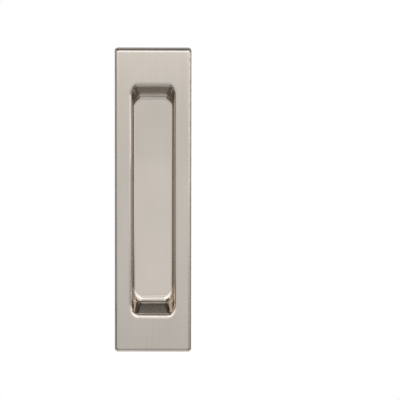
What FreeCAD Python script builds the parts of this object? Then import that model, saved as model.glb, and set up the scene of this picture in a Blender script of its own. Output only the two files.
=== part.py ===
"""Pocket door pull: a one-piece casting with a face plate and a sunk finger recess.

Millimetres. +Z runs up the pull, -Y looks out of the door, and the door's face is the plane Y = 0.
The origin is the middle of the ring that seats on the door.
"""

import FreeCAD, Part
import Sketcher
import os

NODE = "pull_body"
TOLERANCE = 1e-4

# name, value (millimetres or degrees), meaning
SIZES = [
    ("plate_width", 38.0, "face plate, across"),
    ("plate_length", 152.0, "face plate, up and down"),
    ("plate_thickness", 3.6, "door face to front face"),
    ("plate_corner_radius", 1.7, "plate corners seen from the front"),
    ("plate_side_land", 1.4, "straight part of the plate's side, behind its rounded front edge"),
    ("face_skin", 2.2, "metal between the front face and the hollow back"),
    ("seat_ring_width", 2.2, "ring round the hollow back that seats on the door"),
    ("hollow_corner_radius", 1.5, "corners of the hollow back"),
    ("recess_width", 20.7, "recess at the front face, before its rim is rounded"),
    ("recess_length", 115.1, "recess at the front face, before its rim is rounded"),
    ("recess_depth", 10.0, "front face to recess floor"),
    ("side_draft", 2.0, "lean of the side walls, degrees"),
    ("end_slope", 32.5, "lean of the end walls, degrees"),
    ("mouth_corner_radius", 3.0, "corner between side and end wall, at the front face"),
    ("floor_corner_radius", 4.9, "corner between side and end wall, at the floor"),
    ("rim_side_radius", 2.2, "rim along the side walls"),
    ("rim_end_radius", 3.2, "rim along the end walls"),
    ("floor_side_radius", 1.5, "floor to side wall"),
    ("floor_end_radius", 5.0, "floor to end wall"),
    ("cup_wall", 1.8, "metal round the recess"),
    ("cup_floor", 1.8, "metal behind the recess floor"),
    ("boss_end_clearance", 3.3, "seat ring to fixing boss, at each end"),
    ("boss_diameter", 7.0, "fixing boss"),
    ("boss_reach", 5.0, "fixing boss, behind the door face"),
    ("tap_drill_diameter", 3.3, "hole for an M4 thread"),
    ("tap_depth", 6.0, "full depth of the hole"),
    ("root_radius", 0.8, "cup and bosses, where they rise from the hollow back"),
]

# places and sizes that follow from the ones above
FRONT_Y = "-Sizes.plate_thickness"
HOLLOW_Y = "Sizes.face_skin - Sizes.plate_thickness"
FLOOR_Y = "Sizes.recess_depth - Sizes.plate_thickness"
REAR_Y = f"{FLOOR_Y} + Sizes.cup_floor"
EDGE_RADIUS = "Sizes.plate_thickness - Sizes.plate_side_land"
BOSS_INSET = "(Sizes.seat_ring_width + Sizes.boss_end_clearance + Sizes.boss_diameter / 2)"
BOSS_SPACING = f"Sizes.plate_length - 2 * {BOSS_INSET}"
SIDE_WALL = "Sizes.cup_wall / cos(Sizes.side_draft * 1 deg)"
END_WALL = "Sizes.cup_wall / cos(Sizes.end_slope * 1 deg)"


def make_sheet(doc):
    sheet = doc.addObject("Spreadsheet::Sheet", "Sizes")
    for row, (name, value, meaning) in enumerate(SIZES, 1):
        sheet.set(f"A{row}", meaning)
        sheet.set(f"B{row}", str(value))
        sheet.setAlias(f"B{row}", name)
    doc.recompute()
    return sheet


class Pull:
    """The casting: a body with all the sharp forms, and then the rounded edges of its recess and plate."""

    def __init__(self, doc):
        self.doc = doc
        self.sheet = make_sheet(doc)
        self.body = doc.addObject("PartDesign::Body", "pull_casting")

    def value(self, expression):
        """An expression on the sheet as a plain number."""
        result = self.sheet.evalExpression(expression)
        return float(getattr(result, "Value", result))

    def sketch(self, name, plane_y):
        """Sketch in the plane Y = plane_y: its own X is X, its own Y is Z, and it looks out of the door."""
        sketch = self.body.newObject("Sketcher::SketchObject", name)
        door_face = next(item for item in self.body.Origin.OriginFeatures if item.Role == "XZ_Plane")
        sketch.AttachmentSupport = [(door_face, "")]
        sketch.MapMode = "FlatFace"
        sketch.setExpression("AttachmentOffset.Base.z", f"-({plane_y})")
        return sketch

    def bind(self, sketch, name, expression, kind, *points):
        index = sketch.addConstraint(Sketcher.Constraint(kind, *points, self.value(expression)))
        sketch.renameConstraint(index, name)
        sketch.setExpression(f"Constraints.{name}", expression)

    def rectangle(self, name, plane_y, width, length):
        """Sketch of a sharp rectangle about the pull's middle."""
        sketch = self.sketch(name, plane_y)
        a = self.value(width) / 2
        b = self.value(length) / 2
        corners = [FreeCAD.Vector(x, z, 0) for x, z in ((-a, -b), (a, -b), (a, b), (-a, b))]
        for i in range(4):
            sketch.addGeometry(Part.LineSegment(corners[i], corners[(i + 1) % 4]), False)
        for i in range(4):
            sketch.addConstraint(Sketcher.Constraint("Coincident", i, 2, (i + 1) % 4, 1))
            sketch.addConstraint(Sketcher.Constraint("Vertical" if i % 2 else "Horizontal", i))
        sketch.addConstraint(Sketcher.Constraint("Symmetric", 0, 1, 1, 2, -1, 1))
        self.bind(sketch, "width", width, "DistanceX", 0, 1, 0, 2)
        self.bind(sketch, "length", length, "DistanceY", 1, 1, 1, 2)
        return sketch

    def circle_pair(self, name, plane_y, spacing, diameter):
        """Sketch of two equal circles on the pull's upright centre line."""
        sketch = self.sketch(name, plane_y)
        half = self.value(spacing) / 2
        normal = FreeCAD.Vector(0, 0, 1)
        for z in (-half, half):
            circle = Part.Circle(FreeCAD.Vector(0, z, 0), normal, self.value(diameter) / 2)
            sketch.addGeometry(circle, False)
        sketch.addConstraint(Sketcher.Constraint("PointOnObject", 0, 3, -2))
        sketch.addConstraint(Sketcher.Constraint("Symmetric", 0, 3, 1, 3, -1, 1))
        sketch.addConstraint(Sketcher.Constraint("Equal", 0, 1))
        self.bind(sketch, "spacing", spacing, "DistanceY", 0, 3, 1, 3)
        self.bind(sketch, "diameter", diameter, "Diameter", 0)
        return sketch

    def feature(self, kind, name, profile=None, reverse=False, **expressions):
        """Body feature whose named properties follow expressions."""
        feature = self.body.newObject(f"PartDesign::{kind}", name)
        if profile is not None:
            feature.Profile = profile
            feature.Reversed = reverse
        for prop, expression in expressions.items():
            feature.setExpression(prop, expression)
        self.doc.recompute()
        return feature

    def cut(self, *args, **kwargs):
        """Body feature that has to take metal away."""
        before = self.body.Shape.Volume
        feature = self.feature(*args, **kwargs)
        if self.body.Shape.Volume > before - TOLERANCE:
            raise RuntimeError(f"{feature.Name} takes nothing away")
        return feature

    def wedge(self, kind, name, rear_y, side_wall, end_wall):
        """Expressions of a leaning-walled block from the front face to rear_y, outside the recess by the walls."""
        depth = f"({rear_y} + Sizes.plate_thickness)"
        half_x = f"(Sizes.recess_width / 2 + {side_wall})"
        half_z = f"(Sizes.recess_length / 2 + {end_wall})"
        far_x = f"({half_x} - {depth} * tan(Sizes.side_draft * 1 deg))"
        far_z = f"({half_z} - {depth} * tan(Sizes.end_slope * 1 deg))"
        make = self.cut if kind.startswith("Subtractive") else self.feature
        return make(
            kind, name, Ymin=FRONT_Y, Ymax=rear_y,
            Xmin=f"-{half_x}", Xmax=half_x, Zmin=f"-{half_z}", Zmax=half_z,
            X2min=f"-{far_x}", X2max=far_x, Z2min=f"-{far_z}", Z2max=far_z,
        )

    def round_edges(self, name, edges, radius):
        """One radius on edges of the body."""
        fillet = self.body.newObject("PartDesign::Fillet", name)
        tip = fillet.BaseFeature
        fillet.Base = (tip, [f"Edge{index}" for index in edges(tip.Shape)])
        fillet.setExpression("Radius", radius)
        self.doc.recompute()

    def edges_between(self, y_a, y_b):
        """Finder of the edges that run from the plane Y = y_a to the plane Y = y_b."""
        planes = sorted((self.value(y_a), self.value(y_b)))

        def find(shape):
            found = []
            for index, edge in enumerate(shape.Edges, 1):
                ends = sorted(vertex.Point.y for vertex in edge.Vertexes)
                if len(ends) == 2 and all(abs(p - q) < TOLERANCE for p, q in zip(ends, planes)):
                    found.append(index)
            return found

        return find

    def edges_in_plane(self, plane_y, width=None, length=None, inside=True):
        """Finder of the edges in the plane Y = plane_y, inside an outline of that size or on it."""
        y = self.value(plane_y)
        half_x = self.value(width or "Sizes.plate_width") / 2 - TOLERANCE
        half_z = self.value(length or "Sizes.plate_length") / 2 - TOLERANCE

        def find(shape):
            found = []
            for index, edge in enumerate(shape.Edges, 1):
                box = edge.BoundBox
                flat = max(abs(box.YMin - y), abs(box.YMax - y)) < 10 * TOLERANCE
                within = max(-box.XMin, box.XMax) < half_x and max(-box.ZMin, box.ZMax) < half_z
                if flat and within == inside:
                    found.append(index)
            return found

        return find

    def build_body(self):
        hollow_width = "Sizes.plate_width - 2 * Sizes.seat_ring_width"
        hollow_length = "Sizes.plate_length - 2 * Sizes.seat_ring_width"
        hollow_depth = f"-({HOLLOW_Y})"

        outline = self.rectangle("plate_outline", "0", "Sizes.plate_width", "Sizes.plate_length")
        self.feature("Pad", "plate", outline, Length="Sizes.plate_thickness")
        hollow = self.rectangle("hollow_outline", "0", hollow_width, hollow_length)
        self.cut("Pocket", "hollow_back", hollow, reverse=True, Length=hollow_depth)
        self.round_edges("hollow_corners", self.edges_between(HOLLOW_Y, "0"), "Sizes.hollow_corner_radius")

        self.wedge("AdditiveWedge", "cup", REAR_Y, SIDE_WALL, END_WALL)
        self.round_edges(
            "cup_corners", self.edges_between(HOLLOW_Y, REAR_Y), "Sizes.mouth_corner_radius + Sizes.cup_wall"
        )
        self.round_edges("cup_rear_edges", self.edges_in_plane(REAR_Y), "Sizes.floor_side_radius + Sizes.cup_wall")

        bosses = self.circle_pair("boss_outline", HOLLOW_Y, BOSS_SPACING, "Sizes.boss_diameter")
        self.feature("Pad", "bosses", bosses, reverse=True, Length=f"Sizes.boss_reach + {hollow_depth}")
        self.round_edges(
            "roots", self.edges_in_plane(HOLLOW_Y, hollow_width, hollow_length), "Sizes.root_radius"
        )
        taps = self.circle_pair("tap_outline", "Sizes.boss_reach", BOSS_SPACING, "Sizes.tap_drill_diameter")
        self.cut(
            "Hole", "tapped_holes", taps, reverse=True,
            Diameter="Sizes.tap_drill_diameter", Depth="Sizes.tap_depth",
        )
        self.wedge("SubtractiveWedge", "recess", FLOOR_Y, "0", "0")

    def round_recess(self, name, base, plane_y, side_radius, end_radius):
        """Round the recess's edges in one plane, with a radius that changes round each corner."""
        side = self.value(side_radius)
        end = self.value(end_radius)
        rounding = self.doc.addObject("Part::Fillet", name)
        rounding.Base = base
        radii = []
        for index in self.edges_in_plane(plane_y)(base.Shape):
            edge = base.Shape.Edges[index - 1]
            first = edge.valueAt(edge.FirstParameter)
            last = edge.valueAt(edge.LastParameter)
            if abs(first.x - last.x) < TOLERANCE:
                radii.append((index, side, side))
            elif abs(first.z - last.z) < TOLERANCE:
                radii.append((index, end, end))
            elif abs(first.x) > abs(last.x):
                radii.append((index, side, end))
            else:
                radii.append((index, end, side))
        rounding.Edges = radii
        self.doc.recompute()
        return rounding

    def round_recess_corners(self, base):
        """Round the recess's four leaning corners, wider at the floor than at the mouth."""
        mouth = self.value("Sizes.mouth_corner_radius")
        floor = self.value("Sizes.floor_corner_radius")
        rounding = self.doc.addObject("Part::Fillet", "recess_corners")
        rounding.Base = base
        radii = []
        for index in self.edges_between(FRONT_Y, FLOOR_Y)(base.Shape):
            edge = base.Shape.Edges[index - 1]
            starts_at_mouth = edge.valueAt(edge.FirstParameter).y < edge.valueAt(edge.LastParameter).y
            radii.append((index, mouth, floor) if starts_at_mouth else (index, floor, mouth))
        rounding.Edges = radii
        self.doc.recompute()
        return rounding

    def round_plate(self, base):
        """Round the plate's front edges and its upright corners together."""
        corner = self.value("Sizes.plate_corner_radius")
        edge = self.value(EDGE_RADIUS)
        rounding = self.doc.addObject("Part::Fillet", "plate_edges")
        rounding.Base = base
        front = self.edges_in_plane(FRONT_Y, inside=False)(base.Shape)
        upright = self.edges_between(FRONT_Y, "0")(base.Shape)
        rounding.Edges = [(i, edge, edge) for i in front] + [(i, corner, corner) for i in upright]
        self.doc.recompute()
        return rounding

    def build(self):
        self.build_body()
        corners = self.round_recess_corners(self.body)
        floor = self.round_recess(
            "recess_floor_edges", corners, FLOOR_Y, "Sizes.floor_side_radius", "Sizes.floor_end_radius"
        )
        rim = self.round_recess("recess_rim", floor, FRONT_Y, "Sizes.rim_side_radius", "Sizes.rim_end_radius")
        pull = self.round_plate(rim)
        pull.Label = NODE
        return pull


def check(doc, pull):
    failed = [item.Name for item in doc.Objects if {"Invalid", "Error"} & set(item.State)]
    if failed:
        raise RuntimeError(f"failed objects: {failed}")
    shape = pull.Shape
    if shape.isNull() or not shape.isValid() or len(shape.Solids) != 1:
        raise RuntimeError("the pull is not one valid solid")


doc = FreeCAD.newDocument("pocket_door_pull")
pull = Pull(doc).build()
check(doc, pull)
os.makedirs("parts", exist_ok=True)
pull.Shape.exportStep(f"parts/{pull.Label}.step")
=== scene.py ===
"""Looks of the pocket door pull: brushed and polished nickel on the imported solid, in a white studio."""

import math

import bpy
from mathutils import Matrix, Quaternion, Vector


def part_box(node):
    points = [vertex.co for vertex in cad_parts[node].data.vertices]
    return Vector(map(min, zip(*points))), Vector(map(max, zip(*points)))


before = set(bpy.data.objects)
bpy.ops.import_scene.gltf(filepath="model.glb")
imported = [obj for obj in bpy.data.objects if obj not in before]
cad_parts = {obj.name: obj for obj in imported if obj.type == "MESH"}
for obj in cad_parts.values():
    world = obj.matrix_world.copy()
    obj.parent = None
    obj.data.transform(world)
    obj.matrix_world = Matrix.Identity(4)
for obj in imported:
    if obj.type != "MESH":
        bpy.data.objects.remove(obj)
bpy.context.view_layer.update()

NODE = "pull_body"
PULL_LOW, PULL_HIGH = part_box(NODE)
FACE_Y = PULL_LOW.y

# where the pull lies in the photograph's square frame, in pixels from its upper left corner
FRAME_PX = 400
PULL_CENTRE_PX = (153.0, 200.9)
PULL_WIDTH_PX = 76.7

# camera
CAMERA_ELEVATION = math.radians(7.8)
CAMERA_ROLL = math.radians(0.085)
CAMERA_DISTANCE = 3.0
SENSOR_WIDTH = 36.0


def add_camera():
    """A long lens a little above the pull, with the slight roll that the photograph's edges show."""
    metres_per_px = (PULL_HIGH.x - PULL_LOW.x) / PULL_WIDTH_PX
    right = (FRAME_PX / 2 - PULL_CENTRE_PX[0]) * metres_per_px
    up = (PULL_CENTRE_PX[1] - FRAME_PX / 2) * metres_per_px
    back = Vector((0, -math.cos(CAMERA_ELEVATION), math.sin(CAMERA_ELEVATION)))
    upright = Vector((0, math.sin(CAMERA_ELEVATION), math.cos(CAMERA_ELEVATION)))
    target = Vector((right, FACE_Y, 0)) + upright * up
    data = bpy.data.cameras.new("camera")
    data.sensor_width = SENSOR_WIDTH
    data.lens = SENSOR_WIDTH * CAMERA_DISTANCE / (FRAME_PX * metres_per_px)
    camera = bpy.data.objects.new("camera", data)
    camera.location = target + back * CAMERA_DISTANCE
    camera.rotation_mode = "QUATERNION"
    level = (-back).to_track_quat("-Z", "Y")
    camera.rotation_quaternion = level @ Quaternion((0, 0, 1), CAMERA_ROLL)
    bpy.context.scene.collection.objects.link(camera)
    bpy.context.scene.camera = camera


# studio: a box of soft panels and grey flags round the pull, out of the camera's sight, in a white room
FLOOR_Z = -0.35
FLOOR_RADIUS = 1.15
FLOOR_SEGMENTS = 96
FLOOR_GREY = 0.62
LEFT, RIGHT = -0.5, 0.5
FRONT, REAR = -0.6, 0.6
CEILING = 0.40
STRIP_HALF = 0.14
GAP_HALF = 0.02
MAT_HALF = 0.12
# a card, a slot and the mats lie this far inside the wall, the ceiling and the floor
LAYER = 0.004
CARD_Y = FRONT + LAYER
SLOT_Z = CEILING - LAYER
MAT_Z = FLOOR_Z + LAYER
# name, x range, y range, z range, brightness with the room's white as 1
PANELS = [
    # front wall, on the camera's side: dim below, bright above, with a dimmer gap up the middle
    ("front_low", (LEFT, RIGHT), (FRONT, FRONT), (FLOOR_Z, -0.22), 0.6),
    ("front_under", (LEFT, RIGHT), (FRONT, FRONT), (-0.22, -0.145), 0.67),
    ("front_mid", (LEFT, RIGHT), (FRONT, FRONT), (-0.145, -0.06), 0.755),
    ("front_card", (-GAP_HALF, GAP_HALF), (CARD_Y, CARD_Y), (-0.145, -0.06), 0.8),
    ("front_level", (LEFT, RIGHT), (FRONT, FRONT), (-0.06, -0.005), 0.74),
    ("front_high", (-STRIP_HALF, STRIP_HALF), (FRONT, FRONT), (-0.005, 0.12), 0.96),
    ("front_upper_gap", (-GAP_HALF, GAP_HALF), (FRONT, FRONT), (0.12, 0.28), 0.78),
    ("front_strip_gap", (-GAP_HALF, GAP_HALF), (FRONT, FRONT), (0.28, CEILING), 1.1),
    ("front_upper_left", (-STRIP_HALF, -GAP_HALF), (FRONT, FRONT), (0.12, 0.28), 1.1),
    ("front_strip_left", (-STRIP_HALF, -GAP_HALF), (FRONT, FRONT), (0.28, CEILING), 2.3),
    ("front_upper_right", (GAP_HALF, STRIP_HALF), (FRONT, FRONT), (0.12, 0.28), 1.1),
    ("front_strip_right", (GAP_HALF, STRIP_HALF), (FRONT, FRONT), (0.28, CEILING), 2.3),
    ("front_side_left", (LEFT, -STRIP_HALF), (FRONT, FRONT), (-0.005, 0.18), 1.2),
    ("front_side_right", (STRIP_HALF, RIGHT), (FRONT, FRONT), (-0.005, 0.18), 1.2),
    ("front_soft_left", (LEFT, -STRIP_HALF), (FRONT, FRONT), (0.18, CEILING), 1.65),
    ("front_soft_right", (STRIP_HALF, RIGHT), (FRONT, FRONT), (0.18, CEILING), 1.65),
    # ceiling: bright at the front, dark over the pull
    ("ceiling_strip", (LEFT, RIGHT), (FRONT, -0.36), (CEILING, CEILING), 1.1),
    ("ceiling_gap", (-GAP_HALF, GAP_HALF), (-0.36, -0.18), (CEILING, CEILING), 0.55),
    ("ceiling_front", (-0.12, RIGHT), (-0.18, -0.09), (CEILING, CEILING), 0.06),
    ("ceiling_slot", (-GAP_HALF, GAP_HALF), (-0.118, -0.09), (SLOT_Z, SLOT_Z), 0.36),
    ("ceiling", (-0.12, RIGHT), (-0.09, 0.10), (CEILING, CEILING), 0.15),
    ("ceiling_left", (LEFT, -0.12), (-0.36, 0.10), (CEILING, CEILING), 0.12),
    ("ceiling_rear", (LEFT, RIGHT), (0.10, REAR), (CEILING, CEILING), 0.5),
    # left wall: soft light at the front, flags beside the pull, dark behind it
    ("left_front_low", (LEFT, LEFT), (FRONT, -0.25), (FLOOR_Z, -0.12), 0.68),
    ("left_front", (LEFT, LEFT), (FRONT, -0.25), (-0.12, 0.0), 0.7),
    ("left_front_high", (LEFT, LEFT), (FRONT, -0.25), (0.0, 0.16), 1.2),
    ("left_flag_low", (LEFT, LEFT), (-0.25, -0.11), (FLOOR_Z, -0.12), 0.1),
    ("left_flag", (LEFT, LEFT), (-0.25, -0.11), (-0.12, 0.03), 0.42),
    ("left_open", (LEFT, LEFT), (-0.25, -0.11), (0.03, CEILING), 0.6),
    ("left_dark", (LEFT, LEFT), (-0.11, -0.03), (FLOOR_Z, CEILING), 0.01),
    ("left_fill", (LEFT, LEFT), (-0.03, 0.20), (FLOOR_Z, 0.16), 0.55),
    ("left_rear", (LEFT, LEFT), (0.20, REAR), (FLOOR_Z, CEILING), 0.06),
    # right wall: the same, with a bright strip beside the pull
    ("right_front_low", (RIGHT, RIGHT), (FRONT, -0.25), (FLOOR_Z, -0.12), 0.5),
    ("right_front", (RIGHT, RIGHT), (FRONT, -0.25), (-0.12, 0.16), 1.05),
    ("right_front_high", (RIGHT, RIGHT), (FRONT, -0.25), (0.16, CEILING), 1.1),
    ("right_flag", (RIGHT, RIGHT), (-0.25, -0.13), (FLOOR_Z, 0.03), 0.01),
    ("right_open", (RIGHT, RIGHT), (-0.25, -0.13), (0.03, CEILING), 0.65),
    ("right_strip_low", (RIGHT, RIGHT), (-0.13, 0.0), (FLOOR_Z, -0.13), 0.7),
    ("right_strip", (RIGHT, RIGHT), (-0.13, 0.0), (-0.13, -0.05), 1.2),
    ("right_strip_high", (RIGHT, RIGHT), (-0.13, 0.0), (-0.05, 0.08), 2.2),
    ("right_dark", (RIGHT, RIGHT), (-0.13, 0.0), (0.08, CEILING), 0.1),
    ("right_fill_low", (RIGHT, RIGHT), (0.0, 0.20), (FLOOR_Z, -0.045), 0.36),
    ("right_fill", (RIGHT, RIGHT), (0.0, 0.20), (-0.045, 0.16), 0.12),
    ("right_rear", (RIGHT, RIGHT), (0.20, REAR), (FLOOR_Z, CEILING), 0.06),
    # rear wall, and mats on the floor
    ("rear", (LEFT, RIGHT), (REAR, REAR), (0.05, CEILING), 0.25),
    ("mat_left", (LEFT, -MAT_HALF), (-0.40, -0.08), (MAT_Z, MAT_Z), 0.15),
    ("mat_right", (MAT_HALF, RIGHT), (-0.40, -0.08), (MAT_Z, MAT_Z), 0.15),
    ("mat_mid", (-MAT_HALF, MAT_HALF), (-0.25, -0.19), (MAT_Z, MAT_Z), 0.25),
    ("mat_step", (-MAT_HALF, MAT_HALF), (-0.19, -0.12), (MAT_Z, MAT_Z), 0.5),
    ("mat_gap", (-MAT_HALF, MAT_HALF), (-0.12, -0.08), (MAT_Z, MAT_Z), 0.03),
    ("mat_back", (-MAT_HALF, MAT_HALF), (0.0, 0.12), (MAT_Z, MAT_Z), 1.0),
]


def set_world():
    """Plain white all round."""
    world = bpy.data.worlds.new("studio")
    world.use_nodes = True
    background = world.node_tree.nodes["Background"]
    background.inputs["Color"].default_value = (1, 1, 1, 1)
    background.inputs["Strength"].default_value = 1.0
    bpy.context.scene.world = world


def glow(name, brightness):
    """Even glow of a lit panel, or of a grey flag."""
    material = bpy.data.materials.new(name)
    material.use_nodes = True
    material.cycles.emission_sampling = "NONE"
    nodes = material.node_tree.nodes
    nodes.clear()
    emission = nodes.new("ShaderNodeEmission")
    emission.inputs["Strength"].default_value = brightness
    output = nodes.new("ShaderNodeOutputMaterial")
    material.node_tree.links.new(emission.outputs["Emission"], output.inputs["Surface"])
    return material


def add_panels():
    """Panels that show in the metal alone: neither the camera nor the floor sees them."""
    for name, (x0, x1), (y0, y1), (z0, z1), brightness in PANELS:
        if z0 == z1:
            corners = [(x0, y0, z0), (x1, y0, z0), (x1, y1, z0), (x0, y1, z0)]
        else:
            corners = [(x0, y0, z0), (x1, y1, z0), (x1, y1, z1), (x0, y0, z1)]
        mesh = bpy.data.meshes.new(name)
        mesh.from_pydata(corners, [], [(0, 1, 2, 3)])
        mesh.materials.append(glow(name, brightness))
        panel = bpy.data.objects.new(name, mesh)
        panel.visible_camera = False
        panel.visible_diffuse = False
        panel.visible_shadow = False
        bpy.context.scene.collection.objects.link(panel)


def add_floor():
    """A plain matt disc, well below the pull."""
    angles = [2 * math.pi * i / FLOOR_SEGMENTS for i in range(FLOOR_SEGMENTS)]
    ring = [(FLOOR_RADIUS * math.cos(a), FLOOR_RADIUS * math.sin(a), 0) for a in angles]
    mesh = bpy.data.meshes.new("floor")
    mesh.from_pydata(ring, [], [tuple(range(FLOOR_SEGMENTS))])
    floor = bpy.data.objects.new("floor", mesh)
    floor.location = (0, 0, FLOOR_Z)
    material = bpy.data.materials.new("floor")
    material.use_nodes = True
    shader = material.node_tree.nodes["Principled BSDF"]
    shader.inputs["Base Color"].default_value = (FLOOR_GREY, FLOOR_GREY, FLOOR_GREY, 1)
    shader.inputs["Roughness"].default_value = 1.0
    shader.inputs["Specular IOR Level"].default_value = 0.0
    mesh.materials.append(material)
    bpy.context.scene.collection.objects.link(floor)


# finish: the colour of the plate, how far its shade varies at random, the painted sheen that lightens the
# polished recess, and how rough it is on the brushed face, in the polished recess and behind
NICKEL = (0.69, 0.632, 0.568)
# the polished recess's colour is made this much lighter than the face: a painted sheen for its brighter
# reflection
POLISH_PAINTED_SHEEN = 1.04
STREAK_SHADE = 0.032
POLISHED_STREAK_SHADE = 0.014
CLOUD_SHADE = 0.05
FACE_ROUGHNESS = 0.18
RECESS_ROUGHNESS = 0.07
REAR_ROUGHNESS = 0.35
BRUSHING = 0.5
# grain of the finish along X, Y and Z, and how deep it is, in metres
STREAK_GRAIN = (0.0011, 0.0011, 0.07)
CLOUD_GRAIN = (0.012, 0.012, 0.03)
BRUSH_GRAIN = (0.00012, 0.00012, 0.009)
CAST_GRAIN = (0.0007, 0.0007, 0.0007)
BRUSH_DEPTH = 0.000004
WORN_DEPTH = 0.0000005
CAST_DEPTH = 0.00003
# each zone of the finish fades in over the short stretch between its two places, in metres
FACE_DEPTH = (FACE_Y + 0.0003, FACE_Y + 0.00005)
POLISH_DEPTH = (FACE_Y + 0.0001, FACE_Y + 0.0005)
POLISH_HALF_WIDTH = (0.0155, 0.0145)
POLISH_HALF_LENGTH = (0.0680, 0.0660)
REAR_DEPTH = (FACE_Y + 0.0020, FACE_Y + 0.0022)
CUP_WALL = (0.0108, 0.0114)
CUP_FLOOR = (FACE_Y + 0.0106, FACE_Y + 0.0112)
CUP_END = (0.0583, 0.0589)
CUP_END_LEAN = math.tan(math.radians(32.5))
PLATE_SIDE = (PULL_HIGH.x - 0.0002, PULL_HIGH.x - 0.0004)
PLATE_END = (PULL_HIGH.z - 0.0002, PULL_HIGH.z - 0.0004)


class Nodes:
    """Short names for the shader nodes that the finish is made of."""

    def __init__(self, material):
        self.tree = material.node_tree
        self.shader = self.tree.nodes["Principled BSDF"]

    def link(self, source, target):
        self.tree.links.new(source, target)

    def add(self, kind):
        return self.tree.nodes.new(kind)

    def math(self, operation, *values):
        """One sum, on sockets and plain numbers."""
        node = self.add("ShaderNodeMath")
        node.operation = operation
        for socket, value in zip(node.inputs, values):
            if isinstance(value, float):
                socket.default_value = value
            else:
                self.link(value, socket)
        return node.outputs["Value"]

    def product(self, first, *others):
        """All the values multiplied together."""
        for other in others:
            first = self.math("MULTIPLY", first, other)
        return first

    def fade(self, source, places):
        """0 up to the first place and 1 beyond the second, which may lie on either side of it."""
        node = self.add("ShaderNodeMapRange")
        node.interpolation_type = "SMOOTHSTEP"
        node.inputs["From Min"].default_value, node.inputs["From Max"].default_value = places
        self.link(source, node.inputs["Value"])
        return node.outputs["Result"]

    def blend(self, factor, first, second):
        """Goes from first to second with the factor."""
        return self.math("MULTIPLY_ADD", factor, self.math("SUBTRACT", second, first), first)

    def noise(self, place, grain, detail):
        """Noise about 0, whose grain is so many metres along X, Y and Z."""
        mapping = self.add("ShaderNodeMapping")
        mapping.inputs["Scale"].default_value = [1 / size for size in grain]
        self.link(place, mapping.inputs["Vector"])
        node = self.add("ShaderNodeTexNoise")
        node.inputs["Scale"].default_value = 1.0
        node.inputs["Detail"].default_value = detail
        self.link(mapping.outputs["Vector"], node.inputs["Vector"])
        return self.math("MULTIPLY_ADD", node.outputs["Fac"], 2.0, -1.0)


def nickel_material():
    """Nickel plate: brushed upright on the face, polished in the recess, fine cast grain behind."""
    material = bpy.data.materials.new("satin_nickel")
    material.use_nodes = True
    nodes = Nodes(material)
    shader = nodes.shader
    place = nodes.add("ShaderNodeTexCoord").outputs["Object"]
    split = nodes.add("ShaderNodeSeparateXYZ")
    nodes.link(place, split.inputs["Vector"])
    depth = split.outputs["Y"]
    across = nodes.math("ABSOLUTE", split.outputs["X"])
    along = nodes.math("ABSOLUTE", split.outputs["Z"])

    slant = nodes.math("MULTIPLY_ADD", nodes.math("SUBTRACT", depth, FACE_Y), CUP_END_LEAN, along)
    round_cup = nodes.math("MAXIMUM", nodes.fade(across, CUP_WALL), nodes.fade(slant, CUP_END))
    outside_cup = nodes.math("MAXIMUM", round_cup, nodes.fade(depth, CUP_FLOOR))
    off_edge = nodes.product(nodes.fade(across, PLATE_SIDE), nodes.fade(along, PLATE_END))
    rear = nodes.product(nodes.fade(depth, REAR_DEPTH), outside_cup, off_edge)
    polish = nodes.product(
        nodes.fade(depth, POLISH_DEPTH),
        nodes.fade(across, POLISH_HALF_WIDTH),
        nodes.fade(along, POLISH_HALF_LENGTH),
    )

    streaks = nodes.noise(place, STREAK_GRAIN, 3.0)
    clouds = nodes.noise(place, CLOUD_GRAIN, 1.0)
    streak_shade = nodes.blend(polish, STREAK_SHADE, POLISHED_STREAK_SHADE)
    cloud = nodes.math("MULTIPLY_ADD", clouds, CLOUD_SHADE, 1.0)
    shade = nodes.math("MULTIPLY_ADD", streaks, streak_shade, cloud)
    tint = nodes.add("ShaderNodeVectorMath")
    tint.operation = "SCALE"
    tint.inputs[0].default_value = NICKEL
    # the colour is lightened in the polished recess by the gain: a painted sheen, not the nickel's own
    # colour
    nodes.link(nodes.product(shade, nodes.blend(polish, 1.0, POLISH_PAINTED_SHEEN)), tint.inputs["Scale"])
    nodes.link(tint.outputs["Vector"], shader.inputs["Base Color"])

    front_roughness = nodes.blend(polish, FACE_ROUGHNESS, RECESS_ROUGHNESS)
    nodes.link(nodes.blend(rear, front_roughness, REAR_ROUGHNESS), shader.inputs["Roughness"])
    shader.inputs["Metallic"].default_value = 1.0
    shader.inputs["Anisotropic"].default_value = BRUSHING
    tangent = nodes.add("ShaderNodeTangent")
    tangent.direction_type = "RADIAL"
    tangent.axis = "Z"
    nodes.link(tangent.outputs["Tangent"], shader.inputs["Tangent"])

    brush_depth = nodes.blend(nodes.fade(depth, FACE_DEPTH), WORN_DEPTH, BRUSH_DEPTH)
    brush = nodes.product(nodes.noise(place, BRUSH_GRAIN, 2.0), brush_depth)
    grain = nodes.product(nodes.noise(place, CAST_GRAIN, 2.0), CAST_DEPTH)
    bump = nodes.add("ShaderNodeBump")
    bump.inputs["Distance"].default_value = 1.0
    nodes.link(nodes.blend(rear, brush, grain), bump.inputs["Height"])
    nodes.link(bump.outputs["Normal"], shader.inputs["Normal"])
    return material


def dress_pull():
    """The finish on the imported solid, with normals that keep its flat faces flat."""
    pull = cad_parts[NODE]
    pull.data.materials.clear()
    pull.data.materials.append(nickel_material())
    normals = pull.modifiers.new("clean_normals", "WEIGHTED_NORMAL")
    normals.keep_sharp = True


set_world()
add_floor()
add_panels()
dress_pull()
add_camera()

bpy.context.scene.view_settings.view_transform = "Standard"
